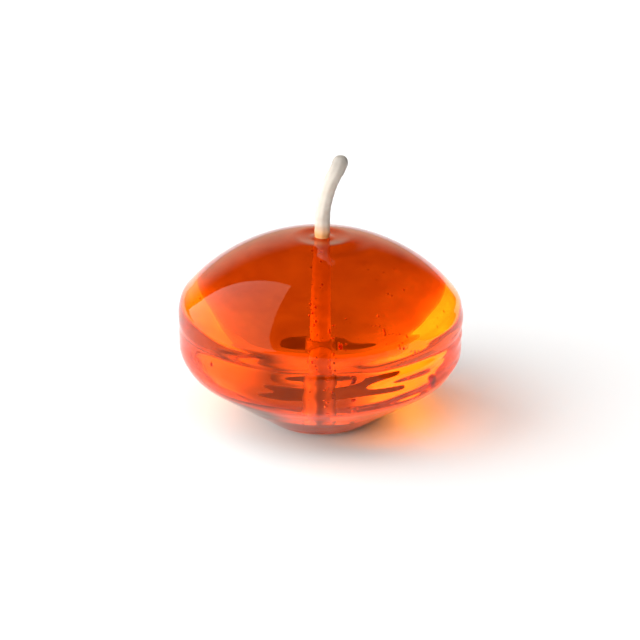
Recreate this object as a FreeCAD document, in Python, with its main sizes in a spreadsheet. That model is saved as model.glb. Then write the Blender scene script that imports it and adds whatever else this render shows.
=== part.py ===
"""Floating gel candle, in millimetres.

Three pieces: a gel body moulded in one, and cast into it a waxed cotton wick with its
pressed metal sustainer, a round foot whose neck grips the wick.
The frame stands at the centre of the flat base, with Z up along the candle's axis.
"""

import FreeCAD, Part
import math
import os
import Sketcher

from FreeCAD import Vector

# Driving sizes
SIZES = {
    # widest circle of the body, just above the parting groove
    "rim_diameter": 45.0,
    # the straight side below the groove stands this far inside the rim
    "band_setback": 0.1,
    # flat that the candle stands on, measured to where the cone would meet it
    "base_diameter": 15.8,
    # heights, each from the one before: underside, straight side up to the groove,
    # straight side above it, and the dome as if it ran on over the dish
    "underside_height": 13.3,
    "band_height": 2.8,
    "rim_height": 2.1,
    "dome_height": 12.6,
    "lower_shoulder_radius": 6.5,
    "upper_shoulder_radius": 4.2,
    "base_edge_radius": 0.8,
    # parting groove, a round channel with soft edges
    "seam_depth": 0.22,
    "seam_radius": 2.0,
    "seam_edge_radius": 0.9,
    # shallow dish that the setting gel left round the wick, its depth taken from its lip
    "dish_radius": 4.2,
    "dish_depth": 0.3,
    "dish_lip_radius": 3.0,
    # wick, and the hair of room that each cast-in piece has in the gel
    "wick_diameter": 2.5,
    "cast_clearance": 0.02,
    # sustainer: height of its plate's underside above the base, plate, neck and the round
    # between them
    "sustainer_height": 5.75,
    "sustainer_diameter": 18.0,
    "sustainer_thickness": 0.35,
    "neck_height": 4.3,
    "neck_diameter": 3.4,
    "neck_root_radius": 0.5,
    # the wick stops this far up inside the sustainer
    "wick_recess": 0.1,
    # straight length above the dome before the wick starts to lean
    "wick_stand": 2.2,
    "wick_lean_radius": 17.0,
    "wick_lean_angle": 28.0,
    "wick_return_radius": 7.0,
    "wick_return_angle": 23.0,
    "wick_tip_radius": 1.0,
}

# Places on a sketch element
START, END, CENTRE = 1, 2, 3
# The sketch's own axes and origin
ACROSS, UP = -1, -2
ORIGIN = (ACROSS, START)

# Formulas for the places that several features share
SEAM_FORMULA = "(sizes.underside_height + sizes.band_height)"
SIDE_FORMULA = "(%s + sizes.rim_height)" % SEAM_FORMULA
CROWN_FORMULA = "(%s + sizes.dome_height)" % SIDE_FORMULA
WICK_FOOT_FORMULA = "(sizes.sustainer_height + sizes.wick_recess)"
BORE_FORMULA = "(sizes.wick_diameter / 2 + sizes.cast_clearance)"

# Turns, in degrees
RIGHT_ANGLE = 90.0
HALF_TURN = 180.0
FULL_TURN = 360.0

# Distance within which an edge counts as the one that is looked for
NEAR = 1e-4


def make_sheet(document):
    """Put every driving size in a cell whose alias is its name."""
    sheet = document.addObject("Spreadsheet::Sheet", "sizes")
    for row, (name, value) in enumerate(SIZES.items(), start=1):
        sheet.set("A%d" % row, name)
        sheet.set("B%d" % row, str(value))
        sheet.setAlias("B%d" % row, name)
    document.recompute()
    return sheet


def size(name):
    """Read one driving size."""
    return float(doc.sizes.get(name))


def seam_height():
    """Height of the line where the two mould halves met."""
    return size("underside_height") + size("band_height")


def side_height():
    """Height where the side is upright for the last time before the dome."""
    return seam_height() + size("rim_height")


def crown_height():
    """Top of the dome, as if it ran on over the dish."""
    return side_height() + size("dome_height")


def rim_radius():
    """Half the widest circle of the body."""
    return size("rim_diameter") / 2


def band_radius():
    """Half the straight side below the groove."""
    return rim_radius() - size("band_setback")


def bore_radius():
    """Radius of a hole that the wick runs through."""
    return size("wick_diameter") / 2 + size("cast_clearance")


def wick_foot():
    """Height of the wick's lower end."""
    return size("sustainer_height") + size("wick_recess")


def new_body(label):
    """Start one piece of the candle."""
    body = doc.addObject("PartDesign::Body", label)
    body.Label = label
    return body


def new_sketch(body, name, role):
    """Start a sketch on one of the body's own origin planes."""
    sketch = body.newObject("Sketcher::SketchObject", name)
    plane = [item for item in body.Origin.OriginFeatures if item.Role == role][0]
    sketch.AttachmentSupport = [(plane, "")]
    sketch.MapMode = "FlatFace"
    return sketch


def line(sketch, start, end):
    """Draw a line and return its number."""
    return sketch.addGeometry(Part.LineSegment(Vector(*start, 0), Vector(*end, 0)), False)


def arc(sketch, centre, radius, first, last):
    """Draw an arc, anticlockwise between two angles in degrees, and return its number."""
    circle = Part.Circle(Vector(*centre, 0), Vector(0, 0, 1), radius)
    piece = Part.ArcOfCircle(circle, math.radians(first), math.radians(last))
    return sketch.addGeometry(piece, False)


def join(sketch, *places):
    """Make two places on the sketch one."""
    sketch.addConstraint(Sketcher.Constraint("Coincident", *places))


def smooth(sketch, *places):
    """Make two ends meet with no corner."""
    sketch.addConstraint(Sketcher.Constraint("Tangent", *places))


def upright(sketch, *lines):
    """Make lines run up the page."""
    for number in lines:
        sketch.addConstraint(Sketcher.Constraint("Vertical", number))


def level(sketch, *lines):
    """Make lines run across the page."""
    for number in lines:
        sketch.addConstraint(Sketcher.Constraint("Horizontal", number))


def drive(sketch, kind, places, value, formula):
    """Add a dimension that follows a formula over the driving sizes."""
    number = sketch.addConstraint(Sketcher.Constraint(kind, *places, value))
    sketch.setExpression("Constraints[%d]" % number, formula)


def round_edge(feature, radius, height):
    """Name the circular edge of a feature that has this radius and height."""
    for number, edge in enumerate(feature.Shape.Edges, start=1):
        curve = edge.Curve
        if not isinstance(curve, Part.Circle):
            continue
        if abs(curve.Radius - radius) < NEAR and abs(curve.Center.z - height) < NEAR:
            return "Edge%d" % number
    raise RuntimeError("no round edge of radius %.3f at height %.3f" % (radius, height))


def soften(body, name, feature, edges, radius_name):
    """Round edges of a feature with one of the driving radii."""
    fillet = body.newObject("PartDesign::Fillet", name)
    fillet.Base = (feature, edges)
    fillet.Radius = size(radius_name)
    fillet.setExpression("Radius", "sizes.%s" % radius_name)
    doc.recompute()
    return fillet


def draw_body_profile(sketch):
    """Half section of the gel body, from the axis out along the base and back over the dome.

    Every element is first drawn where the sizes put it, and then tied down.
    """
    rim = rim_radius()
    band = band_radius()
    base = size("base_diameter") / 2
    band_bottom = size("underside_height")
    seam = seam_height()
    side_top = side_height()
    crown = crown_height()
    lower = size("lower_shoulder_radius")
    upper = size("upper_shoulder_radius")
    dish = size("dish_radius")
    dish_depth = size("dish_depth")

    # The cone of the underside leaves the base and touches the lower shoulder
    reach_across = band - lower - base
    reach = math.hypot(reach_across, band_bottom)
    cone = math.degrees(math.atan2(band_bottom, reach_across) - math.asin(lower / reach))
    lower_centre = (band - lower, band_bottom)
    cone_top = (
        lower_centre[0] + lower * math.sin(math.radians(cone)),
        lower_centre[1] - lower * math.cos(math.radians(cone)),
    )

    # The dome is the one circle about the axis that touches the upper shoulder and the crown
    rise = crown - side_top
    shoulder_reach = rim - upper
    dome = (shoulder_reach ** 2 + rise ** 2 - upper ** 2) / (2 * (rise - upper))
    dome_centre = crown - dome
    turn = math.degrees(math.atan2(side_top - dome_centre, shoulder_reach))
    lip_angle = math.degrees(math.acos(dish / dome))
    lip_height = dome_centre + math.sqrt(dome ** 2 - dish ** 2)

    # The dish is the circle about the axis through its floor and its lip
    dish_floor = lip_height - dish_depth
    bowl = (dish ** 2 + dish_depth ** 2) / (2 * dish_depth)
    bowl_centre = dish_floor + bowl
    bowl_end = math.degrees(math.atan2(lip_height - bowl_centre, dish))

    foot = line(sketch, (0, 0), (base, 0))
    flank = line(sketch, (base, 0), cone_top)
    lower_shoulder = arc(sketch, lower_centre, lower, cone - RIGHT_ANGLE, 0)
    side = line(sketch, (band, band_bottom), (band, seam))
    ledge = line(sketch, (band, seam), (rim, seam))
    lip = line(sketch, (rim, seam), (rim, side_top))
    upper_shoulder = arc(sketch, (rim - upper, side_top), upper, 0, turn)
    dome_arc = arc(sketch, (0, dome_centre), dome, turn, lip_angle)
    dish_arc = arc(sketch, (0, bowl_centre), bowl, -RIGHT_ANGLE, bowl_end)
    axis = line(sketch, (0, dish_floor), (0, 0))
    apex = sketch.addGeometry(Part.Point(Vector(0, crown, 0)), True)

    join(sketch, foot, START, *ORIGIN)
    join(sketch, foot, END, flank, START)
    smooth(sketch, flank, END, lower_shoulder, START)
    smooth(sketch, lower_shoulder, END, side, START)
    join(sketch, side, END, ledge, START)
    join(sketch, ledge, END, lip, START)
    smooth(sketch, lip, END, upper_shoulder, START)
    smooth(sketch, upper_shoulder, END, dome_arc, START)
    join(sketch, dome_arc, END, dish_arc, END)
    join(sketch, dish_arc, START, axis, START)
    join(sketch, axis, END, *ORIGIN)
    level(sketch, foot, ledge)
    upright(sketch, side, lip, axis)
    sketch.addConstraint(Sketcher.Constraint("PointOnObject", dome_arc, CENTRE, UP))
    sketch.addConstraint(Sketcher.Constraint("PointOnObject", dish_arc, CENTRE, UP))
    sketch.addConstraint(Sketcher.Constraint("PointOnObject", apex, START, UP))
    sketch.addConstraint(Sketcher.Constraint("PointOnObject", apex, START, dome_arc))

    drive(sketch, "DistanceX", (*ORIGIN, foot, END), base, "sizes.base_diameter / 2")
    band_formula = "sizes.rim_diameter / 2 - sizes.band_setback"
    drive(sketch, "DistanceX", (*ORIGIN, side, START), band, band_formula)
    drive(sketch, "DistanceY", (*ORIGIN, side, START), band_bottom, "sizes.underside_height")
    drive(sketch, "DistanceY", (*ORIGIN, side, END), seam, SEAM_FORMULA)
    drive(sketch, "DistanceX", (*ORIGIN, lip, START), rim, "sizes.rim_diameter / 2")
    drive(sketch, "DistanceY", (*ORIGIN, lip, END), side_top, SIDE_FORMULA)
    drive(sketch, "Radius", (lower_shoulder,), lower, "sizes.lower_shoulder_radius")
    drive(sketch, "Radius", (upper_shoulder,), upper, "sizes.upper_shoulder_radius")
    drive(sketch, "DistanceY", (*ORIGIN, apex, START), crown, CROWN_FORMULA)
    drive(sketch, "DistanceX", (*ORIGIN, dome_arc, END), dish, "sizes.dish_radius")
    dish_places = (dish_arc, START, dome_arc, END)
    drive(sketch, "DistanceY", dish_places, dish_depth, "sizes.dish_depth")
    return lip_height


def draw_sustainer_profile(sketch, inner, inner_formula, room, room_formula):
    """Half section of the sustainer, grown by some room all round: plate, rounded root, neck.

    The inner side stands at its own radius, which is the axis for the hollow in the gel.
    """
    foot = size("sustainer_height") - room
    plate = size("sustainer_diameter") / 2 + room
    plate_top = foot + size("sustainer_thickness") + 2 * room
    neck = size("neck_diameter") / 2 + room
    neck_top = plate_top + size("neck_height")
    root = size("neck_root_radius") - room
    root_centre = (neck + root, plate_top + root)

    under = line(sketch, (inner, foot), (plate, foot))
    rim = line(sketch, (plate, foot), (plate, plate_top))
    top = line(sketch, (plate, plate_top), (neck + root, plate_top))
    turn = arc(sketch, root_centre, root, HALF_TURN, HALF_TURN + RIGHT_ANGLE)
    outside = line(sketch, (neck, plate_top + root), (neck, neck_top))
    mouth = line(sketch, (neck, neck_top), (inner, neck_top))
    inside = line(sketch, (inner, neck_top), (inner, foot))

    join(sketch, under, END, rim, START)
    join(sketch, rim, END, top, START)
    smooth(sketch, top, END, turn, END)
    smooth(sketch, turn, START, outside, START)
    join(sketch, outside, END, mouth, START)
    join(sketch, mouth, END, inside, START)
    join(sketch, inside, END, under, START)
    level(sketch, under, top, mouth)
    upright(sketch, rim, outside, inside)

    foot_formula = "sizes.sustainer_height - %s" % room_formula
    plate_formula = "sizes.sustainer_diameter / 2 + %s" % room_formula
    neck_formula = "sizes.neck_diameter / 2 + %s" % room_formula
    thickness_formula = "sizes.sustainer_thickness + 2 * %s" % room_formula
    root_formula = "sizes.neck_root_radius - %s" % room_formula
    drive(sketch, "DistanceY", (*ORIGIN, under, START), foot, foot_formula)
    drive(sketch, "DistanceX", (*ORIGIN, under, END), plate, plate_formula)
    drive(sketch, "DistanceY", (rim, START, rim, END), plate_top - foot, thickness_formula)
    drive(sketch, "DistanceX", (*ORIGIN, outside, END), neck, neck_formula)
    drive(sketch, "DistanceY", (rim, END, outside, END), neck_top - plate_top, "sizes.neck_height")
    drive(sketch, "Radius", (turn,), root, root_formula)
    if inner:
        drive(sketch, "DistanceX", (*ORIGIN, inside, END), inner, inner_formula)
    else:
        sketch.addConstraint(Sketcher.Constraint("PointOnObject", inside, END, UP))


def make_gel_body():
    """Turn the section, cut the parting groove, soften the edges and hollow it for the wick."""
    body = new_body("gel_body")
    profile = new_sketch(body, "body_profile", "XZ_Plane")
    lip_height = draw_body_profile(profile)

    turned = body.newObject("PartDesign::Revolution", "turned_body")
    turned.Profile = profile
    turned.ReferenceAxis = (profile, ["V_Axis"])
    turned.Angle = FULL_TURN
    doc.recompute()

    # Parting groove: a round channel whose floor lies seam_depth inside the rim
    rim = rim_radius()
    band = band_radius()
    seam = seam_height()
    channel = size("seam_radius")
    channel_centre = rim + channel - size("seam_depth")
    groove_profile = new_sketch(body, "seam_profile", "XZ_Plane")
    ring = Part.Circle(Vector(channel_centre, seam, 0), Vector(0, 0, 1), channel)
    ring = groove_profile.addGeometry(ring, False)
    centre_formula = "sizes.rim_diameter / 2 + sizes.seam_radius - sizes.seam_depth"
    drive(groove_profile, "DistanceX", (*ORIGIN, ring, CENTRE), channel_centre, centre_formula)
    drive(groove_profile, "DistanceY", (*ORIGIN, ring, CENTRE), seam, SEAM_FORMULA)
    drive(groove_profile, "Radius", (ring,), channel, "sizes.seam_radius")
    groove = body.newObject("PartDesign::Groove", "seam")
    groove.Profile = groove_profile
    groove.ReferenceAxis = (groove_profile, ["V_Axis"])
    groove.Angle = FULL_TURN
    doc.recompute()
    must_shrink(groove, turned)

    # The channel's two edges, where it runs out on the rim and on the straight side
    upper_half = math.sqrt(channel ** 2 - (channel_centre - rim) ** 2)
    lower_half = math.sqrt(channel ** 2 - (channel_centre - band) ** 2)
    seam_edges = [
        round_edge(groove, rim, seam + upper_half),
        round_edge(groove, band, seam - lower_half),
    ]
    soft_seam = soften(body, "soft_seam", groove, seam_edges, "seam_edge_radius")
    foot_edge = round_edge(soft_seam, size("base_diameter") / 2, 0)
    soft_foot = soften(body, "soft_foot", soft_seam, [foot_edge], "base_edge_radius")
    lip_edge = round_edge(soft_foot, size("dish_radius"), lip_height)
    soft_lip = soften(body, "soft_lip", soft_foot, [lip_edge], "dish_lip_radius")

    # The wick's hole starts at the sustainer and comes out in the dish
    bore_profile = new_sketch(body, "bore_profile", "XY_Plane")
    bore_profile.setExpression("AttachmentOffset.Base.z", "sizes.sustainer_height")
    radius = bore_radius()
    bore_circle = bore_profile.addGeometry(Part.Circle(Vector(), Vector(0, 0, 1), radius), False)
    join(bore_profile, bore_circle, CENTRE, *ORIGIN)
    drive(bore_profile, "Radius", (bore_circle,), radius, BORE_FORMULA)
    bore = body.newObject("PartDesign::Pocket", "wick_bore")
    bore.Profile = bore_profile
    bore.Type = "ThroughAll"
    bore.Reversed = True
    doc.recompute()
    must_shrink(bore, soft_lip)

    # The hollow that the gel set round the sustainer
    room = size("cast_clearance")
    hollow_profile = new_sketch(body, "hollow_profile", "XZ_Plane")
    draw_sustainer_profile(hollow_profile, 0, None, room, "sizes.cast_clearance")
    hollow = body.newObject("PartDesign::Groove", "sustainer_hollow")
    hollow.Profile = hollow_profile
    hollow.ReferenceAxis = (hollow_profile, ["V_Axis"])
    hollow.Angle = FULL_TURN
    doc.recompute()
    must_shrink(hollow, bore)
    return body


def make_sustainer():
    """Turn the thin plate with its neck, open in the middle for the wick."""
    body = new_body("wick_sustainer")
    profile = new_sketch(body, "sustainer_profile", "XZ_Plane")
    draw_sustainer_profile(profile, bore_radius(), BORE_FORMULA, 0, "0 * sizes.cast_clearance")
    pressed = body.newObject("PartDesign::Revolution", "pressed_plate")
    pressed.Profile = profile
    pressed.ReferenceAxis = (profile, ["V_Axis"])
    pressed.Angle = FULL_TURN
    doc.recompute()
    return body


def draw_wick_path(sketch):
    """Centre line of the wick from its own lower end: upright, leaning to +X, then righting itself."""
    run = crown_height() + size("wick_stand") - wick_foot()
    lean = size("wick_lean_radius")
    lean_angle = size("wick_lean_angle")
    back = size("wick_return_radius")
    back_angle = size("wick_return_angle")

    # Both arcs meet at the knee, with their centres on opposite sides of the wick
    across = math.cos(math.radians(lean_angle))
    along = math.sin(math.radians(lean_angle))
    knee = (lean - lean * across, run + lean * along)
    back_centre = (knee[0] - back * across, knee[1] + back * along)

    upright_run = line(sketch, (0, 0), (0, run))
    lean_arc = arc(sketch, (lean, run), lean, HALF_TURN - lean_angle, HALF_TURN)
    back_arc = arc(sketch, back_centre, back, -lean_angle, back_angle - lean_angle)

    join(sketch, upright_run, START, *ORIGIN)
    upright(sketch, upright_run)
    smooth(sketch, upright_run, END, lean_arc, END)
    smooth(sketch, lean_arc, START, back_arc, START)
    run_formula = "%s + sizes.wick_stand - %s" % (CROWN_FORMULA, WICK_FOOT_FORMULA)
    drive(sketch, "DistanceY", (*ORIGIN, upright_run, END), run, run_formula)
    drive(sketch, "Radius", (lean_arc,), lean, "sizes.wick_lean_radius")
    drive(sketch, "Radius", (back_arc,), back, "sizes.wick_return_radius")
    lean_value = math.radians(lean_angle)
    drive(sketch, "Angle", (lean_arc,), lean_value, "sizes.wick_lean_angle * 1 deg")
    back_value = math.radians(back_angle)
    drive(sketch, "Angle", (back_arc,), back_value, "sizes.wick_return_angle * 1 deg")


def make_wick():
    """Run the wick's round section along its centre line and round its free end."""
    body = new_body("wick")
    body.setExpression("Placement.Base.z", WICK_FOOT_FORMULA)
    path = new_sketch(body, "wick_path", "XZ_Plane")
    draw_wick_path(path)

    section = new_sketch(body, "wick_section", "XY_Plane")
    radius = size("wick_diameter") / 2
    ring = section.addGeometry(Part.Circle(Vector(), Vector(0, 0, 1), radius), False)
    join(section, ring, CENTRE, *ORIGIN)
    drive(section, "Radius", (ring,), radius, "sizes.wick_diameter / 2")

    strand = body.newObject("PartDesign::AdditivePipe", "strand")
    strand.Profile = section
    strand.Spine = path
    doc.recompute()
    soften(body, "burnt_end", strand, [top_edge(strand)], "wick_tip_radius")
    return body


def top_edge(feature):
    """Name the edge whose middle stands highest."""
    edges = feature.Shape.Edges
    heights = [edge.CenterOfMass.z for edge in edges]
    return "Edge%d" % (heights.index(max(heights)) + 1)


def must_shrink(after, before):
    """Stop if a cut took nothing away."""
    if after.Shape.Volume > before.Shape.Volume - NEAR:
        raise RuntimeError("%s cuts nothing" % after.Name)


def must_be_sound(pieces):
    """Stop if anything in the document failed or a piece has no good solid."""
    for item in doc.Objects:
        if "Invalid" in item.State or "Error" in item.State:
            raise RuntimeError("%s failed: %s" % (item.Name, item.State))
        if item.TypeId == "Sketcher::SketchObject" and not item.FullyConstrained:
            raise RuntimeError("%s is not fully constrained" % item.Name)
    for piece in pieces:
        shape = piece.Shape
        if shape.isNull() or not shape.isValid() or len(shape.Solids) != 1:
            raise RuntimeError("%s has no single good solid" % piece.Label)


doc = FreeCAD.newDocument("floating_candle")
make_sheet(doc)
pieces = [make_gel_body(), make_sustainer(), make_wick()]
doc.recompute()
must_be_sound(pieces)

os.makedirs("parts", exist_ok=True)
for piece in pieces:
    piece.Shape.exportStep("parts/%s.step" % piece.Label)
    box = piece.Shape.optimalBoundingBox(False)
    low = "%.3f %.3f %.3f" % (box.XMin, box.YMin, box.ZMin)
    high = "%.3f %.3f %.3f" % (box.XMax, box.YMax, box.ZMax)
    print("%s: volume %.2f, from %s to %s" % (piece.Label, piece.Shape.Volume, low, high))
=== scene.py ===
# %% [markdown]
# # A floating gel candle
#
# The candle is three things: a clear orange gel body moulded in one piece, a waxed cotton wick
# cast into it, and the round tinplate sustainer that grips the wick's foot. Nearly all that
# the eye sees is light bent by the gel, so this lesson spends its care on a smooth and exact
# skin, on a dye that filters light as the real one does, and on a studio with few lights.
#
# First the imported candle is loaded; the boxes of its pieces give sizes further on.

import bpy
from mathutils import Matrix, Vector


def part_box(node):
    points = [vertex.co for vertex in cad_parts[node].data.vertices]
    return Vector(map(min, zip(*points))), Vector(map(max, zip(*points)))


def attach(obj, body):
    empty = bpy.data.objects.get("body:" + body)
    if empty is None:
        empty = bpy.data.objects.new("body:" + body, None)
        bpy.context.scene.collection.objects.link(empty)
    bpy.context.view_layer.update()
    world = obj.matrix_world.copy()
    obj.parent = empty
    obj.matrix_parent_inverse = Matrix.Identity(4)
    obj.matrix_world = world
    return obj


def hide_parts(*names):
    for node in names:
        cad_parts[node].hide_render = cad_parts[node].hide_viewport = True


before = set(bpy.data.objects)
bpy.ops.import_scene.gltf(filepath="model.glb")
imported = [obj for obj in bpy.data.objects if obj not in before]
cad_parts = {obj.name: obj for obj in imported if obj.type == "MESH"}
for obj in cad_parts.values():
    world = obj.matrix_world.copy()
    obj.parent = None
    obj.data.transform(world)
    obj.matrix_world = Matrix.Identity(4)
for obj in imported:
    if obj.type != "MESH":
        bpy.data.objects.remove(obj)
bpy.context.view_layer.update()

# %% [markdown]
# ## Tools
#
# Three helpers do the small work. Colours are written as sRGB hex, as a colour picker gives
# them, and turned linear in one place. Nodes are added, set and linked in one call. A mesh
# becomes a smooth-shaded piece under a plain name.

# %% Units and helpers
import math
import random

import bmesh
import bpy
from mathutils import Matrix, Vector

MM = 0.001
FULL_TURN = 2 * math.pi
scene = bpy.context.scene


def linear(hex_colour, alpha=1.0):
    """Turn an sRGB hex colour such as "#ff8800" into linear values."""
    parts = [int(hex_colour[i:i + 2], 16) / 255 for i in (1, 3, 5)]
    bent = [p / 12.92 if p <= 0.04045 else ((p + 0.055) / 1.055) ** 2.4 for p in parts]
    return (*bent, alpha)


def add_node(tree, kind, inputs=None, **settings):
    """Add a node, set its settings and fill or link its inputs, by name or by number."""
    node = tree.nodes.new(kind)
    for name, value in settings.items():
        setattr(node, name, value)
    for name, value in (inputs or {}).items():
        if isinstance(value, bpy.types.NodeSocket):
            tree.links.new(value, node.inputs[name])
        else:
            node.inputs[name].default_value = value
    return node


def finished(name, mesh):
    """Turn a built mesh into a smooth-shaded piece of the scene."""
    data = bpy.data.meshes.new(name)
    mesh.to_mesh(data)
    mesh.free()
    data.shade_smooth()
    piece = bpy.data.objects.new(name, data)
    scene.collection.objects.link(piece)
    print(name, "has", len(data.polygons), "faces")
    return piece


def smoothstep(value, start, end):
    """Go from 0 to 1 between two values, level at both ends."""
    t = min(1.0, max(0.0, (value - start) / (end - start)))
    return t * t * (3 - 2 * t)


# %% [markdown]
# ## The gel body
#
# The real body was poured hot into a two-part mould, so it is round about its axis: a dome
# above, a straight band with a faint parting groove, and a cone below that ends in a small
# flat. A lathe is the right tool: one half section, turned about the axis. Light bends at
# every point of this skin, so the section is made of true arcs in fine steps.

# %% Sizes of the half section
RIM_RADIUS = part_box("gel_body")[1][0]
BAND_SETBACK = 0.1 * MM
BASE_RADIUS = 7.9 * MM
UNDERSIDE_HEIGHT = 13.3 * MM
SEAM_HEIGHT = 16.1 * MM
SIDE_HEIGHT = 18.2 * MM
CROWN_HEIGHT = 30.8 * MM
LOWER_SHOULDER = 6.5 * MM
UPPER_SHOULDER = 4.2 * MM
DISH_RADIUS = 4.2 * MM
DISH_DEPTH = 0.3 * MM
WICK_RADIUS = 1.25 * MM
STEP = 0.25 * MM
print("rim radius in mm", round(RIM_RADIUS / MM, 3))

# %% [markdown]
# The section runs from the middle of the base outwards, up the cone, round the lower
# shoulder, up the band, round the upper shoulder, over the dome and down into the dish that
# the setting gel left round the wick. Each arc touches the next, as on the turned mould.

# %% Trace the half section


def arc_points(centre, radius, first, last):
    """Points on an arc in the plane of radius and height, evenly spaced, angles in radians."""
    count = max(2, int(abs(last - first) * radius / STEP))
    angles = [first + (last - first) * i / count for i in range(count + 1)]
    return [(centre[0] + radius * math.cos(a), centre[1] + radius * math.sin(a)) for a in angles]


def line_points(start, end):
    """Points on a straight line, evenly spaced."""
    count = max(1, int(math.dist(start, end) / STEP))
    return [tuple(s + (e - s) * i / count for s, e in zip(start, end)) for i in range(count + 1)]


def gel_section():
    """Half section from the middle of the base, out and up, to the middle of the dish."""
    band = RIM_RADIUS - BAND_SETBACK
    # the cone leaves the base and touches the lower shoulder
    across = band - LOWER_SHOULDER - BASE_RADIUS
    reach = math.hypot(across, UNDERSIDE_HEIGHT)
    cone = math.atan2(UNDERSIDE_HEIGHT, across) - math.asin(LOWER_SHOULDER / reach)
    lower_centre = (band - LOWER_SHOULDER, UNDERSIDE_HEIGHT)
    lower = arc_points(lower_centre, LOWER_SHOULDER, cone - math.pi / 2, 0)
    # the dome's circle touches the upper shoulder and the crown
    rise = CROWN_HEIGHT - SIDE_HEIGHT
    shoulder = RIM_RADIUS - UPPER_SHOULDER
    dome = (shoulder ** 2 + rise ** 2 - UPPER_SHOULDER ** 2) / (2 * (rise - UPPER_SHOULDER))
    dome_middle = CROWN_HEIGHT - dome
    turn = math.atan2(SIDE_HEIGHT - dome_middle, shoulder)
    upper = arc_points((shoulder, SIDE_HEIGHT), UPPER_SHOULDER, 0, turn)
    lip = math.acos(DISH_RADIUS / dome)
    crown = arc_points((0, dome_middle), dome, turn, lip)
    # the dish is a shallow bowl about the axis
    bowl = (DISH_RADIUS ** 2 + DISH_DEPTH ** 2) / (2 * DISH_DEPTH)
    lip_height = dome_middle + dome * math.sin(lip)
    bowl_middle = lip_height - DISH_DEPTH + bowl
    edge = math.atan2(lip_height - bowl_middle, DISH_RADIUS)
    dish = arc_points((0, bowl_middle), bowl, edge, -math.pi / 2)
    section = line_points((0, 0), (BASE_RADIUS, 0))
    for stretch in (line_points((BASE_RADIUS, 0), lower[0]), lower,
                    line_points((band, UNDERSIDE_HEIGHT), (band, SEAM_HEIGHT)),
                    line_points((RIM_RADIUS, SEAM_HEIGHT), (RIM_RADIUS, SIDE_HEIGHT)),
                    upper, crown, dish):
        section += stretch[1:]
    return section


section = gel_section()
print("points in the section", len(section))

# %% [markdown]
# The real skin has no sharp edges, because gel rounds itself as it sets. A short averaging
# window run along the section rounds the foot, the step at the parting line and the dish's
# lip by about half a millimetre.

# %% Soften the section


def softened(points, passes):
    """Round the corners of the section by averaging neighbours, its two ends kept."""
    for _ in range(passes):
        trios = zip(points, points[1:], points[2:])
        inner = [tuple((a + 2 * b + c) / 4 for a, b, c in zip(*trio)) for trio in trios]
        points = [points[0]] + inner + [points[-1]]
    return points


section = softened(section, 5)
section[0] = (0.0, 0.0)
section[-1] = (0.0, section[-1][1])

# %% [markdown]
# A hand-poured candle isn't a perfect lens. Where the mould's halves met, a shallow round
# groove runs about the band, deeper on the right. The band and the cone carry faint ripples
# where the hot gel chilled against the mould, and they break the view into streaks. On top
# the gel climbs a little up the wick, and beside the dish it set in a low wave.

# %% What the mould and the pour left on the skin
SEAM_DEPTH = 0.22 * MM
SEAM_HALF_WIDTH = 0.9 * MM
SEAM_LEFT_SHARE = 0.3
RIPPLE_COUNT = 30
RIPPLE_DEPTH = 0.022 * MM
RIPPLE_LENGTHS = (1.3, 5.0)
CONE_SHARE = 0.7
MENISCUS_HEIGHT = 0.2 * MM
MENISCUS_WIDTH = 0.5 * MM
WAVE_HEIGHT = 0.05 * MM
WAVE_LENGTH = 4.2 * MM
WAVE_ANGLE = math.radians(-55)
chance = random.Random(11)
ripples = []
for _ in range(RIPPLE_COUNT):
    length = chance.uniform(*RIPPLE_LENGTHS)
    ripples.append((chance.randint(1, 9), chance.choice((-1, 1)) * FULL_TURN / (length * MM),
                    chance.uniform(0, FULL_TURN), RIPPLE_DEPTH * length / RIPPLE_LENGTHS[1]))


def poured(turn, radius, height):
    """Move a point of the turned skin by what the mould and the pour left there."""
    on_side = smoothstep(radius, 0.86 * RIM_RADIUS, 0.97 * RIM_RADIUS)
    if height < UNDERSIDE_HEIGHT:
        on_side = max(on_side, CONE_SHARE * smoothstep(radius, 0.42 * RIM_RADIUS, 0.56 * RIM_RADIUS))
    if on_side:
        right = smoothstep(math.cos(turn - math.radians(-15)), -0.2, 0.8)
        away = (height - SEAM_HEIGHT) / SEAM_HALF_WIDTH
        groove = SEAM_DEPTH * (SEAM_LEFT_SHARE + (1 - SEAM_LEFT_SHARE) * right)
        radius -= groove * math.exp(-2 * away * away)
        wave = sum(d * math.sin(m * turn + k * height + p) for m, k, p, d in ripples)
        # crests are left out, so that the skin never stands outside the mould
        share = on_side * (0.35 + 0.65 * right)
        radius += share * (wave - 0.5 * RIPPLE_DEPTH * RIPPLE_COUNT ** 0.5)
    if height > SIDE_HEIGHT and radius < 2.4 * DISH_RADIUS:
        climb = max(0.0, radius - WICK_RADIUS) / MENISCUS_WIDTH
        height += MENISCUS_HEIGHT * math.exp(-climb * climb)
        beside = smoothstep(math.cos(turn - WAVE_ANGLE), 0.1, 0.9)
        reach = smoothstep(radius, 0.9 * DISH_RADIUS, 1.3 * DISH_RADIUS)
        fade = 1 - smoothstep(radius, 1.7 * DISH_RADIUS, 2.4 * DISH_RADIUS)
        swing = math.cos(FULL_TURN * radius / WAVE_LENGTH) - 1
        height += WAVE_HEIGHT * beside * reach * fade * swing
    return radius, height


# %% [markdown]
# Turning the section gives the body. The same function turns the metal sustainer later: a
# section that starts and ends on the axis closes there, and any other is a closed ring.

# %% Turn the section
SPOKES = 264


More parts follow.
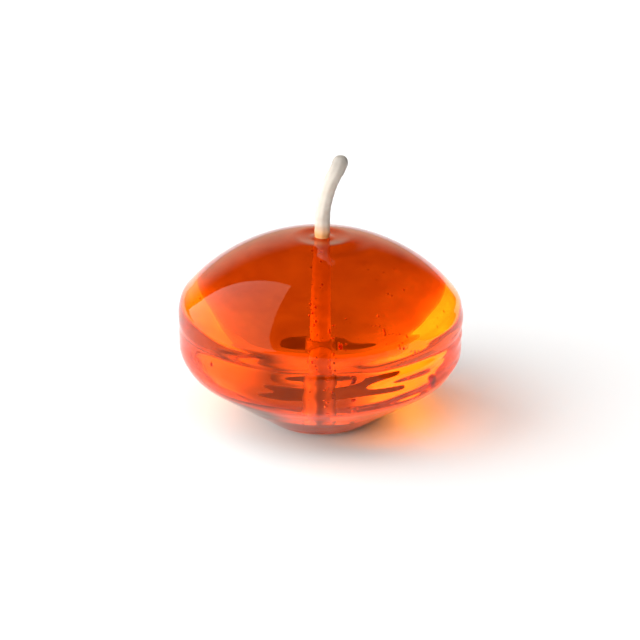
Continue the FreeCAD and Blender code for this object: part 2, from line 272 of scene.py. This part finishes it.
def turn_section(mesh, points, spokes, shape=None):
    """Turn a half section about the Z axis and add it to a mesh."""
    on_axis = points[0][0] == 0
    rings = []
    for radius, height in points[1:-1] if on_axis else points:
        ring = []
        for i in range(spokes):
            turn = FULL_TURN * i / spokes
            r, z = shape(turn, radius, height) if shape else (radius, height)
            ring.append(mesh.verts.new((r * math.cos(turn), r * math.sin(turn), z)))
        rings.append(ring)
    pairs = list(zip(rings, rings[1:])) + ([] if on_axis else [(rings[-1], rings[0])])
    for below, above in pairs:
        for i in range(spokes):
            j = (i + 1) % spokes
            mesh.faces.new((below[i], below[j], above[j], above[i]))
    if on_axis:
        ends = []
        for radius, height in (points[0], points[-1]):
            z = shape(0, radius, height)[1] if shape else height
            ends.append(mesh.verts.new((0, 0, z)))
        for i in range(spokes):
            j = (i + 1) % spokes
            mesh.faces.new((ends[0], rings[0][j], rings[0][i]))
            mesh.faces.new((ends[1], rings[-1][i], rings[-1][j]))


gel_mesh = bmesh.new()
turn_section(gel_mesh, section, SPOKES, poured)
print("gel skin faces", len(gel_mesh.faces))

# %% [markdown]
# Air is trapped as hot gel runs in: a string of small bubbles along the wick, a loose ring
# over the sustainer, specks in the dome, and one large bubble in the band on the right. Each
# is a cavity, a small sphere whose faces look inwards, in the same mesh as the gel, so that
# light leaves the gel there and enters it again. A fixed seed keeps them in place.

# %% Trap the air bubbles
bubble_seed = random.Random(5)
bubbles = []


def add_bubbles(count, place, smallest, largest):
    """Note bubbles at places drawn by a function, with radii between two sizes in mm."""
    for _ in range(count):
        size = smallest + (largest - smallest) * bubble_seed.random() ** 2.5
        bubbles.append((place(), size, bubble_seed.uniform(1.0, 1.25)))


def round_axis(near, far, low, high, first, last):
    """Give a function that draws places in a sector round the axis, in mm and degrees."""
    def place():
        turn = math.radians(bubble_seed.uniform(first, last))
        reach = bubble_seed.uniform(near, far)
        return (reach * math.cos(turn), reach * math.sin(turn), bubble_seed.uniform(low, high))
    return place


# the camera looks along +Y, so turns near -90 degrees are in front
add_bubbles(26, round_axis(1.35, 1.9, 12.0, 26.5, -150, -85), 0.07, 0.24)
add_bubbles(16, round_axis(1.9, 2.6, 6.6, 14.0, -160, -20), 0.08, 0.26)
add_bubbles(16, round_axis(2.2, 4.2, 6.6, 13.0, -80, 10), 0.1, 0.34)
add_bubbles(24, round_axis(8.6, 12.5, 6.6, 8.2, -170, -10), 0.06, 0.18)
add_bubbles(20, round_axis(5.0, 13.0, 12.0, 24.0, -80, 40), 0.05, 0.16)
add_bubbles(10, round_axis(16.0, 20.0, 12.5, 21.0, -190, -140), 0.06, 0.18)
add_bubbles(12, round_axis(16.5, 20.0, 11.0, 20.0, -60, 20), 0.06, 0.2)
for step in range(14):
    # a string of beads on the right, left by a hair of air
    bubbles.append(((6.5 + 0.55 * step, -6.0 - 0.1 * step, 15.6 - 0.1 * step + 0.15 * (step % 3)),
                    0.09 + 0.03 * (step % 4), 1.0))
bubbles.append(((16.2, -11.2, 11.2), 0.95, 1.4))
bubbles.append(((15.3, -12.1, 10.6), 0.26, 1.0))
bubbles.append(((-15.4, -11.0, 13.4), 0.28, 1.2))
for (x, y, z), size, tall in bubbles:
    matrix = Matrix.Translation((x * MM, y * MM, z * MM)) @ Matrix.Diagonal((1, 1, tall, 1))
    made = bmesh.ops.create_icosphere(gel_mesh, subdivisions=2, radius=size * MM, matrix=matrix)
    faces = {face for vertex in made["verts"] for face in vertex.link_faces}
    bmesh.ops.reverse_faces(gel_mesh, faces=list(faces))
gel = finished("moulded_gel", gel_mesh)
print("bubbles", len(bubbles))

# %% [markdown]
# ## The look of the gel
#
# Candle gel is mineral oil thickened with a little resin, clear as glass with an index of
# about 1.46. A dye swallows the blue and most of the green within a few millimetres and then
# changes little, so most of the filter sits on the skin, where each crossing of the tint
# counts once, and a weak absorption does the rest over distance. What still tells deep orange
# from yellow is how bright the room is behind each part.
#
# The dye isn't quite even: it set in flat swirls some millimetres long, a little paler and a
# little deeper than the rest.
#
# Light on its way to the wick or the table gets a lighter tint. That is a shortcut and not how
# dye works: one tint can't match both the deep orange of the gel and the warm glow that it
# casts beside itself, so each gets its own.

# %% Material: clear candle gel, cast against a polished mould
GEL_INDEX = 1.46
SEEN_DEEP, SEEN_PALE = (0.5, 0.036, 0.001, 1), (0.76, 0.074, 0.002, 1)
SWIRL_LENGTH, SWIRL_HEIGHT = 9 * MM, 3.2 * MM
CAST_TINT = (0.32, 0.085, 0.001, 1)
SHEEN_TINT = (0.65, 0.52, 0.32, 1)
DEPTH_COLOUR = (0.997, 0.993, 0.97, 1)
DEPTH_DENSITY = 330.0


def make_gel_material():
    """Clear gel with an orange dye, its filter split between the skin and the depth."""
    material = bpy.data.materials.new("candle_gel_cast_clear")
    material.use_nodes = True
    tree = material.node_tree
    tree.nodes.clear()
    path = add_node(tree, "ShaderNodeLightPath")
    cast = add_node(tree, "ShaderNodeMath", {0: path.outputs["Diffuse Depth"], 1: 0.5},
                    operation="GREATER_THAN")
    place = add_node(tree, "ShaderNodeTexCoord")
    stretched = add_node(tree, "ShaderNodeMapping", {
        "Vector": place.outputs["Object"],
        "Scale": (1 / SWIRL_LENGTH, 1 / SWIRL_LENGTH, 1 / SWIRL_HEIGHT)})
    swirls = add_node(tree, "ShaderNodeTexNoise", {
        "Vector": stretched.outputs["Vector"], "Scale": 1.0, "Detail": 3.0, "Distortion": 0.6})
    strength = add_node(tree, "ShaderNodeMapRange", {
        "Value": swirls.outputs["Fac"], "From Min": 0.3, "From Max": 0.7})
    seen = add_node(tree, "ShaderNodeMix", {
        0: strength.outputs["Result"], 6: SEEN_DEEP, 7: SEEN_PALE}, data_type="RGBA")
    tint = add_node(tree, "ShaderNodeMix", {
        0: cast.outputs[0], 6: seen.outputs[2], 7: CAST_TINT}, data_type="RGBA")
    skin = add_node(tree, "ShaderNodeBsdfPrincipled", {
        "Base Color": tint.outputs[2], "Roughness": 0.0, "IOR": GEL_INDEX,
        "Transmission Weight": 1.0, "Specular Tint": SHEEN_TINT})
    depth = add_node(tree, "ShaderNodeVolumeAbsorption", {
        "Color": DEPTH_COLOUR, "Density": DEPTH_DENSITY})
    add_node(tree, "ShaderNodeOutputMaterial", {
        "Surface": skin.outputs["BSDF"], "Volume": depth.outputs["Volume"]})
    return material


gel.data.materials.append(make_gel_material())
print("seen tints", SEEN_DEEP[:3], SEEN_PALE[:3], "depth colour", DEPTH_COLOUR[:3])

# %% [markdown]
# ## The sustainer
#
# A wick can't stand in hot gel by itself, so its foot is gripped by a sustainer: a thin round
# plate pressed from tinplate, with a short neck that is crimped on the wick. It lies a few
# millimetres above the base, and the dome shows it as a dark lens beside the wick. It is
# turned from a ring section, and the crimp is three shallow dents in the neck.

# %% Turn and crimp the sustainer
PLATE_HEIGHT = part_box("wick_sustainer")[0][2]
PLATE_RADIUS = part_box("wick_sustainer")[1][0]
NECK_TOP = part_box("wick_sustainer")[1][2]
PLATE_THICKNESS = 0.35 * MM
NECK_RADIUS = 1.7 * MM
BORE_RADIUS = 1.27 * MM
ROOT_RADIUS = 0.5 * MM
CRIMP_DEPTH = 0.12 * MM
CRIMP_COUNT = 3
PLATE_EDGE = 0.08 * MM


def crimped(turn, radius, height):
    """Press the crimp's dents into the outside of the neck, half way up."""
    middle = (PLATE_HEIGHT + PLATE_THICKNESS + NECK_TOP) / 2
    away = abs(height - middle) / (NECK_TOP - middle)
    if abs(radius - NECK_RADIUS) < 0.2 * ROOT_RADIUS and away < 1:
        dent = max(0.0, math.cos(CRIMP_COUNT * turn)) ** 4 * math.cos(away * math.pi / 2) ** 2
        return radius - CRIMP_DEPTH * dent, height
    return radius, height


plate_top = PLATE_HEIGHT + PLATE_THICKNESS
root = (NECK_RADIUS + ROOT_RADIUS, plate_top + ROOT_RADIUS)
sustainer_section = line_points((BORE_RADIUS, PLATE_HEIGHT),
                                (PLATE_RADIUS - PLATE_EDGE, PLATE_HEIGHT))
sustainer_section += line_points((PLATE_RADIUS, PLATE_HEIGHT + PLATE_EDGE),
                                 (PLATE_RADIUS, plate_top - PLATE_EDGE))
sustainer_section += line_points((PLATE_RADIUS - PLATE_EDGE, plate_top), (root[0], plate_top))
sustainer_section += arc_points(root, ROOT_RADIUS, -math.pi / 2, -math.pi)[1:]
sustainer_section += line_points((NECK_RADIUS, root[1]), (NECK_RADIUS, NECK_TOP))[1:]
sustainer_section += line_points((BORE_RADIUS, NECK_TOP), (BORE_RADIUS, PLATE_HEIGHT))[:-1]
sustainer_mesh = bmesh.new()
turn_section(sustainer_mesh, sustainer_section, 96, crimped)
sustainer = finished("pressed_sustainer", sustainer_mesh)
bpy.context.view_layer.objects.active = sustainer
sustainer.data.set_sharp_from_angle(angle=math.radians(35))

# %% [markdown]
# Tinplate is steel under a thin coat of tin. New it is bright, and the melt leaves it dull:
# a metal of middle roughness, with faint clouds about two millimetres across.

# %% Material: pressed tinplate, dulled by the melt


def make_tinplate_material():
    """Tin-coated steel with cloudy roughness."""
    material = bpy.data.materials.new("tinplate_pressed_dull")
    material.use_nodes = True
    tree = material.node_tree
    skin = tree.nodes["Principled BSDF"]
    place = add_node(tree, "ShaderNodeTexCoord")
    clouds = add_node(tree, "ShaderNodeTexNoise", {
        "Vector": place.outputs["Object"], "Scale": 500.0, "Detail": 4.0})
    dullness = add_node(tree, "ShaderNodeMapRange", {
        "Value": clouds.outputs["Fac"], "From Min": 0.3, "From Max": 0.7, "To Min": 0.32, "To Max": 0.5})
    tone = add_node(tree, "ShaderNodeMix", {
        0: clouds.outputs["Fac"], 6: linear("#b9b6b0"), 7: linear("#d0cdc8")}, data_type="RGBA")
    tree.links.new(tone.outputs[2], skin.inputs["Base Color"])
    tree.links.new(dullness.outputs["Result"], skin.inputs["Roughness"])
    skin.inputs["Metallic"].default_value = 1.0
    return material


sustainer.data.materials.append(make_tinplate_material())

# %% [markdown]
# ## The wick
#
# The wick is a braid of cotton, dipped in wax so that it stands by itself. It leaves the gel
# upright, leans to the right and rights itself near its end. A swept tube follows that line.
# The strands of the braid cross in a diamond pattern, and the wax fills most of it, so they
# stand only a few hundredths of a millimetre above the rest, with a slow unevenness on top.

# %% Sweep the wick
WICK_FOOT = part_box("wick")[0][2]
BEND_HEIGHT = 33.0 * MM
LEAN_RADIUS = 17.0 * MM
LEAN_ANGLE = math.radians(28)
RETURN_RADIUS = 7.0 * MM
RETURN_ANGLE = math.radians(23)
STRAND_DEPTH = 0.16 * MM
STRAND_PITCH = 5.2 * MM
STRANDS = 4
TIP_RADIUS = 1.0 * MM


def wick_line(count):
    """Centre line of the wick as (point, direction, length so far)."""
    knee = Vector((LEAN_RADIUS * (1 - math.cos(LEAN_ANGLE)), 0,
                   BEND_HEIGHT + LEAN_RADIUS * math.sin(LEAN_ANGLE)))
    stretches = [BEND_HEIGHT - WICK_FOOT, LEAN_RADIUS * LEAN_ANGLE, RETURN_RADIUS * RETURN_ANGLE]
    places = []
    for i in range(count + 1):
        run = sum(stretches) * i / count
        if run <= stretches[0]:
            lean, point = 0.0, Vector((0, 0, WICK_FOOT + run))
        elif run <= stretches[0] + stretches[1]:
            lean = (run - stretches[0]) / LEAN_RADIUS
            point = Vector((LEAN_RADIUS * (1 - math.cos(lean)), 0, BEND_HEIGHT + LEAN_RADIUS * math.sin(lean)))
        else:
            lean = LEAN_ANGLE - (run - stretches[0] - stretches[1]) / RETURN_RADIUS
            shift = (math.cos(lean) - math.cos(LEAN_ANGLE), 0, math.sin(LEAN_ANGLE) - math.sin(lean))
            point = knee + RETURN_RADIUS * Vector(shift)
        places.append((point, Vector((math.sin(lean), 0, math.cos(lean))), run))
    return places


def braided(turn, run):
    """Radius of the waxed braid at a place on the wick."""
    climb = FULL_TURN * run / STRAND_PITCH
    cross = math.sin(STRANDS * turn + climb * STRANDS / 2) * math.sin(STRANDS * turn - climb * STRANDS / 2)
    slow = 0.5 + 0.25 * (math.sin(run / (1.9 * MM) + turn) + math.sin(run / (0.83 * MM) - 2 * turn + 1))
    return WICK_RADIUS - STRAND_DEPTH * (0.25 + 0.25 * cross + 0.5 * (1 - slow))


def sweep_wick(name, spokes=64, count=520):
    """Braided tube on the wick's line, with a rounded free end."""
    mesh = bmesh.new()
    places = wick_line(count)
    total = places[-1][2]
    rings = []
    for point, direction, run in places:
        left = min(1.0, (total - run) / TIP_RADIUS)
        drawn_in = (WICK_RADIUS - TIP_RADIUS + TIP_RADIUS * math.sqrt(1 - (1 - left) ** 2)) / WICK_RADIUS
        side = Vector((direction.z, 0, -direction.x))
        ring = []
        for k in range(spokes):
            turn = FULL_TURN * k / spokes
            out = side * math.cos(turn) + Vector((0, 1, 0)) * math.sin(turn)
            ring.append(mesh.verts.new(point + out * braided(turn, run) * drawn_in))
        rings.append(ring)
    for below, above in zip(rings, rings[1:]):
        for k in range(spokes):
            j = (k + 1) % spokes
            mesh.faces.new((below[k], below[j], above[j], above[k]))
    mesh.faces.new(list(reversed(rings[0])))
    mesh.faces.new(rings[-1])
    return finished(name, mesh)


wick = sweep_wick("braided_wick")

# %% [markdown]
# Waxed cotton is cream, a little mottled where the wax is thicker, and softly glossy. The last millimetre above the
# gel has soaked up some orange, and the wick turns greyer and darker towards its tip.

# %% Material: cotton braid under a thin coat of wax
STAIN_FROM, STAIN_TO = 30.4 * MM, 33.2 * MM
END_FROM, END_TO = 38.0 * MM, 43.6 * MM


def make_wick_material():
    """Cream waxed cotton, stained orange at the gel, greyer and darker towards its tip."""
    material = bpy.data.materials.new("cotton_braid_waxed")
    material.use_nodes = True
    tree = material.node_tree
    skin = tree.nodes["Principled BSDF"]
    place = add_node(tree, "ShaderNodeTexCoord")
    axes = add_node(tree, "ShaderNodeSeparateXYZ", {"Vector": place.outputs["Object"]})
    mottle = add_node(tree, "ShaderNodeTexNoise", {
        "Vector": place.outputs["Object"], "Scale": 700.0, "Detail": 3.0})
    cotton = add_node(tree, "ShaderNodeMix", {
        0: mottle.outputs["Fac"], 6: linear("#cabead"), 7: linear("#e4dcd0")}, data_type="RGBA")
    clean = add_node(tree, "ShaderNodeMapRange", {
        "Value": axes.outputs["Z"], "From Min": STAIN_FROM, "From Max": STAIN_TO},
        interpolation_type="SMOOTHSTEP")
    stained = add_node(tree, "ShaderNodeMix", {
        0: clean.outputs["Result"], 6: linear("#eeaa62"), 7: cotton.outputs[2]}, data_type="RGBA")
    # the colour turns greyer and darker over the top few millimetres, towards the tip
    greyer_tip = add_node(tree, "ShaderNodeMapRange", {
        "Value": axes.outputs["Z"], "From Min": END_FROM, "From Max": END_TO},
        interpolation_type="SMOOTHSTEP")
    colour = add_node(tree, "ShaderNodeMix", {
        0: greyer_tip.outputs["Result"], 6: stained.outputs[2], 7: linear("#aaa298")}, data_type="RGBA")
    fibres = add_node(tree, "ShaderNodeTexNoise", {
        "Vector": place.outputs["Object"], "Scale": 4200.0, "Detail": 2.0})
    relief = add_node(tree, "ShaderNodeBump", {
        "Height": fibres.outputs["Fac"], "Strength": 0.25, "Distance": 0.02 * MM})
    tree.links.new(colour.outputs[2], skin.inputs["Base Color"])
    tree.links.new(relief.outputs["Normal"], skin.inputs["Normal"])
    skin.inputs["Roughness"].default_value = 0.55
    skin.inputs["Coat Weight"].default_value = 0.25
    skin.inputs["Coat Roughness"].default_value = 0.35
    return material


wick.data.materials.append(make_wick_material())

# %% [markdown]
# ## Back on the frame
#
# Nothing on a candle moves, so every piece rides on the root. Each one replaces its own CAD piece, which is hidden.

# %% Seat the pieces on the frame
for piece, node, slot in ((gel, "gel_body", "gel"), (sustainer, "wick_sustainer", "sustainer"),
                          (wick, "wick", "wick")):
    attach(piece, "root")
    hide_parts(node)

# %% [markdown]
# ## The table
#
# The candle stands on matt white board. What the camera, the gel's mirror and the view through
# the gel see of it is plain white, and for the light that it throws back on the candle it is
# the slightly darker white of real board.

# %% Table
TABLE_WHITE = 0.92
TABLE_SEEN = 1.0
bpy.ops.mesh.primitive_plane_add(size=4.0, location=(0, 0, -0.03 * MM))
table = bpy.context.object
table.name = "table"
board = bpy.data.materials.new("matt_white_board")
board.use_nodes = True
tree = board.node_tree
path = add_node(tree, "ShaderNodeLightPath")
bent = add_node(tree, "ShaderNodeMath", {
    0: path.outputs["Is Glossy Ray"], 1: path.outputs["Is Transmission Ray"]}, operation="MAXIMUM")
looked_at = add_node(tree, "ShaderNodeMath", {
    0: path.outputs["Is Camera Ray"], 1: bent.outputs[0]}, operation="MAXIMUM")
white = add_node(tree, "ShaderNodeMix", {0: looked_at.outputs[0], 2: TABLE_WHITE, 3: TABLE_SEEN})
grey = add_node(tree, "ShaderNodeCombineColor", {0: white.outputs[0], 1: white.outputs[0], 2: white.outputs[0]})
matt = tree.nodes["Principled BSDF"]
tree.links.new(grey.outputs[0], matt.inputs["Base Color"])
matt.inputs["Roughness"].default_value = 0.9
matt.inputs["Specular IOR Level"].default_value = 0.0
table.data.materials.append(board)

# %% [markdown]
# ## The light
#
# One large softbox leans over from the left and makes the bright window on the dome. Its
# place and tilt were worked back from the outline of that window, mirrored in a dome whose
# shape is known.

# %% Softbox
SOFTBOX_DISTANCE = 0.7
lamp = bpy.data.lights.new("softbox", "AREA")
lamp.shape = "RECTANGLE"
lamp.size = 1.96 * SOFTBOX_DISTANCE
lamp.size_y = 1.49 * SOFTBOX_DISTANCE
lamp.energy = 9.4
softbox = bpy.data.objects.new("softbox", lamp)
scene.collection.objects.link(softbox)
x_axis = Vector((0.303, 0.851, 0.4255)).normalized()
y_axis = Vector((-0.5357, 0.5217, -0.662)).normalized()
z_axis = x_axis.cross(y_axis)
place = Vector((-1.021, -0.167, 0.311)) * SOFTBOX_DISTANCE
softbox.matrix_world = Matrix.Translation(place) @ Matrix((x_axis, y_axis, z_axis)).transposed().to_4x4()
print("softbox", lamp.energy, "W")

# %% [markdown]
# The rest of the room is the world, and it is three pictures, told apart by the kind of ray.
# Matt things get a soft plain light from overhead, from the front left and from the front.
# The gel's outer mirror sees only one soft patch behind it. What the gel bends is a brighter
# room: a warm white backdrop that fades into a dark ceiling and front, a dark gap, a bright
# card on the right, the softbox's glow and a little light behind for the outline. The gel
# gathers its yellow from the card and the softbox, and its dark streaks from the gap. Under
# one plain room the same gel would look darker and redder.

# %% The room
BACKDROP, CEILING, OVERHEAD = 1.1, 0.24, 0.4
RIGHT_WALL, FRONT_WALL = 0.8, 0.35
FILL_LOW, FILL_HIGH = 0.15, 0.9
BENT_SHARE = 1.75
# each patch: azimuth, elevation, full within, gone beyond, in degrees, and its level
DARK_GAP = (23, 28, 8, 20, -0.85)
MIRRORED_PATCH = (-8, 4, 12, 36, 0.85)
BRIGHT_CARD = (112, 24, 16, 42, 2.6)
SOFTBOX_GLOW = (-98, 35, 20, 45, 3.5)
EDGE_LIGHT = (2, 24, 5, 14, 0.8)
FRONT_LEFT_FILL = (-135, 28, 14, 44, 2.5)
FRONT_FILL = (172, 56, 6, 24, 1.9)
world = bpy.data.worlds.new("studio")
scene.world = world
world.use_nodes = True
sky = world.node_tree
sky.nodes.clear()
direction = add_node(sky, "ShaderNodeTexCoord")
axes = add_node(sky, "ShaderNodeSeparateXYZ", {"Vector": direction.outputs["Generated"]})


def sum_of(first, second, operation="ADD"):
    """Combine two values in the room's tree."""
    return add_node(sky, "ShaderNodeMath", {0: first, 1: second}, operation=operation).outputs[0]


def between(axis, start, end, low, high):
    """Fade between two levels along an axis of the room."""
    fade = add_node(sky, "ShaderNodeMapRange", {
        "Value": axes.outputs[axis], "From Min": start, "From Max": end, "To Min": low, "To Max": high},
        interpolation_type="SMOOTHSTEP")
    return fade.outputs["Result"]


def patch(azimuth, elevation, inner, outer, level):
    """Light of a soft round patch; azimuth in degrees from the back towards the right."""
    side, up = math.radians(azimuth), math.radians(elevation)
    way = (math.sin(side) * math.cos(up), math.cos(side) * math.cos(up), math.sin(up))
    facing = add_node(sky, "ShaderNodeVectorMath", {0: direction.outputs["Generated"], 1: way},
                      operation="DOT_PRODUCT")
    spot = add_node(sky, "ShaderNodeMapRange", {
        "Value": facing.outputs["Value"], "From Min": math.cos(math.radians(outer)),
        "From Max": math.cos(math.radians(inner)), "To Min": 0.0, "To Max": level},
        interpolation_type="SMOOTHSTEP")
    return spot.outputs["Result"]


backdrop = between("Z", 0.35, 0.75, BACKDROP, CEILING)
backdrop = sum_of(backdrop, between("X", -0.7, 0.7, 1.0, RIGHT_WALL), "MULTIPLY")
backdrop = sum_of(backdrop, between("Y", -0.6, 0.2, FRONT_WALL, 1.0), "MULTIPLY")
room = sum_of(sum_of(backdrop, patch(*DARK_GAP)), 0.0, "MAXIMUM")
mirrored_room = patch(*MIRRORED_PATCH)
overhead = between("Z", 0.75, 0.9, 0.0, OVERHEAD)
bent_room = sum_of(sum_of(room, patch(*BRIGHT_CARD)), patch(*SOFTBOX_GLOW))
bent_room = sum_of(sum_of(bent_room, overhead), patch(*EDGE_LIGHT))
bent_room = sum_of(bent_room, BENT_SHARE, "MULTIPLY")
front_fill = sum_of(patch(*FRONT_LEFT_FILL), patch(*FRONT_FILL))
fill = sum_of(between("Z", 0.85, 1.0, FILL_LOW, FILL_HIGH), front_fill)
path = add_node(sky, "ShaderNodeLightPath")
shiny = add_node(sky, "ShaderNodeMix", {
    0: path.outputs["Is Transmission Ray"], 2: mirrored_room, 3: bent_room})
strength = add_node(sky, "ShaderNodeMix", {
    0: path.outputs["Is Diffuse Ray"], 2: shiny.outputs[0], 3: fill})
colour = add_node(sky, "ShaderNodeMix", {
    0: path.outputs["Is Diffuse Ray"], 6: (1.0, 0.93, 0.7, 1), 7: (1, 1, 1, 1)}, data_type="RGBA")
glow = add_node(sky, "ShaderNodeBackground", {"Color": colour.outputs[2], "Strength": strength.outputs[0]})
add_node(sky, "ShaderNodeOutputWorld", {"Surface": glow.outputs["Background"]})
print("room nodes", len(sky.nodes))

# %% [markdown]
# ## The camera
#
# The photo was taken from about half a metre with a long lens, looking down on the candle by
# some 22 degrees. The numbers were fitted to the outline of the rim and the base.

# %% Camera
CAMERA_DISTANCE = 0.45
CAMERA_ELEVATION = math.radians(21.65)
CAMERA_ROLL = math.radians(0.923)
AIM = Vector((0, 0, 15 * MM))
PICTURE = 640
PIXELS_PER_METRE = 6318
CENTRE_PIXEL = (320.58, 327.96)
camera_data = bpy.data.cameras.new("camera")
camera_data.sensor_width = 36
camera_data.lens = 36 * PIXELS_PER_METRE * CAMERA_DISTANCE / PICTURE
camera_data.shift_x = (PICTURE / 2 - CENTRE_PIXEL[0]) / PICTURE
camera_data.shift_y = (CENTRE_PIXEL[1] - PICTURE / 2) / PICTURE
camera_data.clip_start = 0.01
camera = bpy.data.objects.new("camera", camera_data)
scene.collection.objects.link(camera)
back = Vector((0, -math.cos(CAMERA_ELEVATION), math.sin(CAMERA_ELEVATION)))
look = (-back).to_track_quat("-Z", "Y").to_matrix().to_4x4()
camera.matrix_world = Matrix.Translation(AIM + back * CAMERA_DISTANCE) @ look @ Matrix.Rotation(CAMERA_ROLL, 4, "Z")
scene.camera = camera
print("lens", round(camera_data.lens), "mm")

# %% [markdown]
# ## Light paths
#
# Light meets the gel's skin many times before it leaves, so the paths are long. Caustics stay
# on, because the glow on the table is one.

# %% Light paths
scene.view_settings.view_transform = "Standard"
cycles = scene.cycles
cycles.max_bounces = 48
cycles.transmission_bounces = 48
cycles.glossy_bounces = 48
cycles.diffuse_bounces = 4
cycles.caustics_refractive = True
cycles.caustics_reflective = True
cycles.blur_glossy = 0.0
cycles.sample_clamp_indirect = 8.0
cycles.use_denoising = True
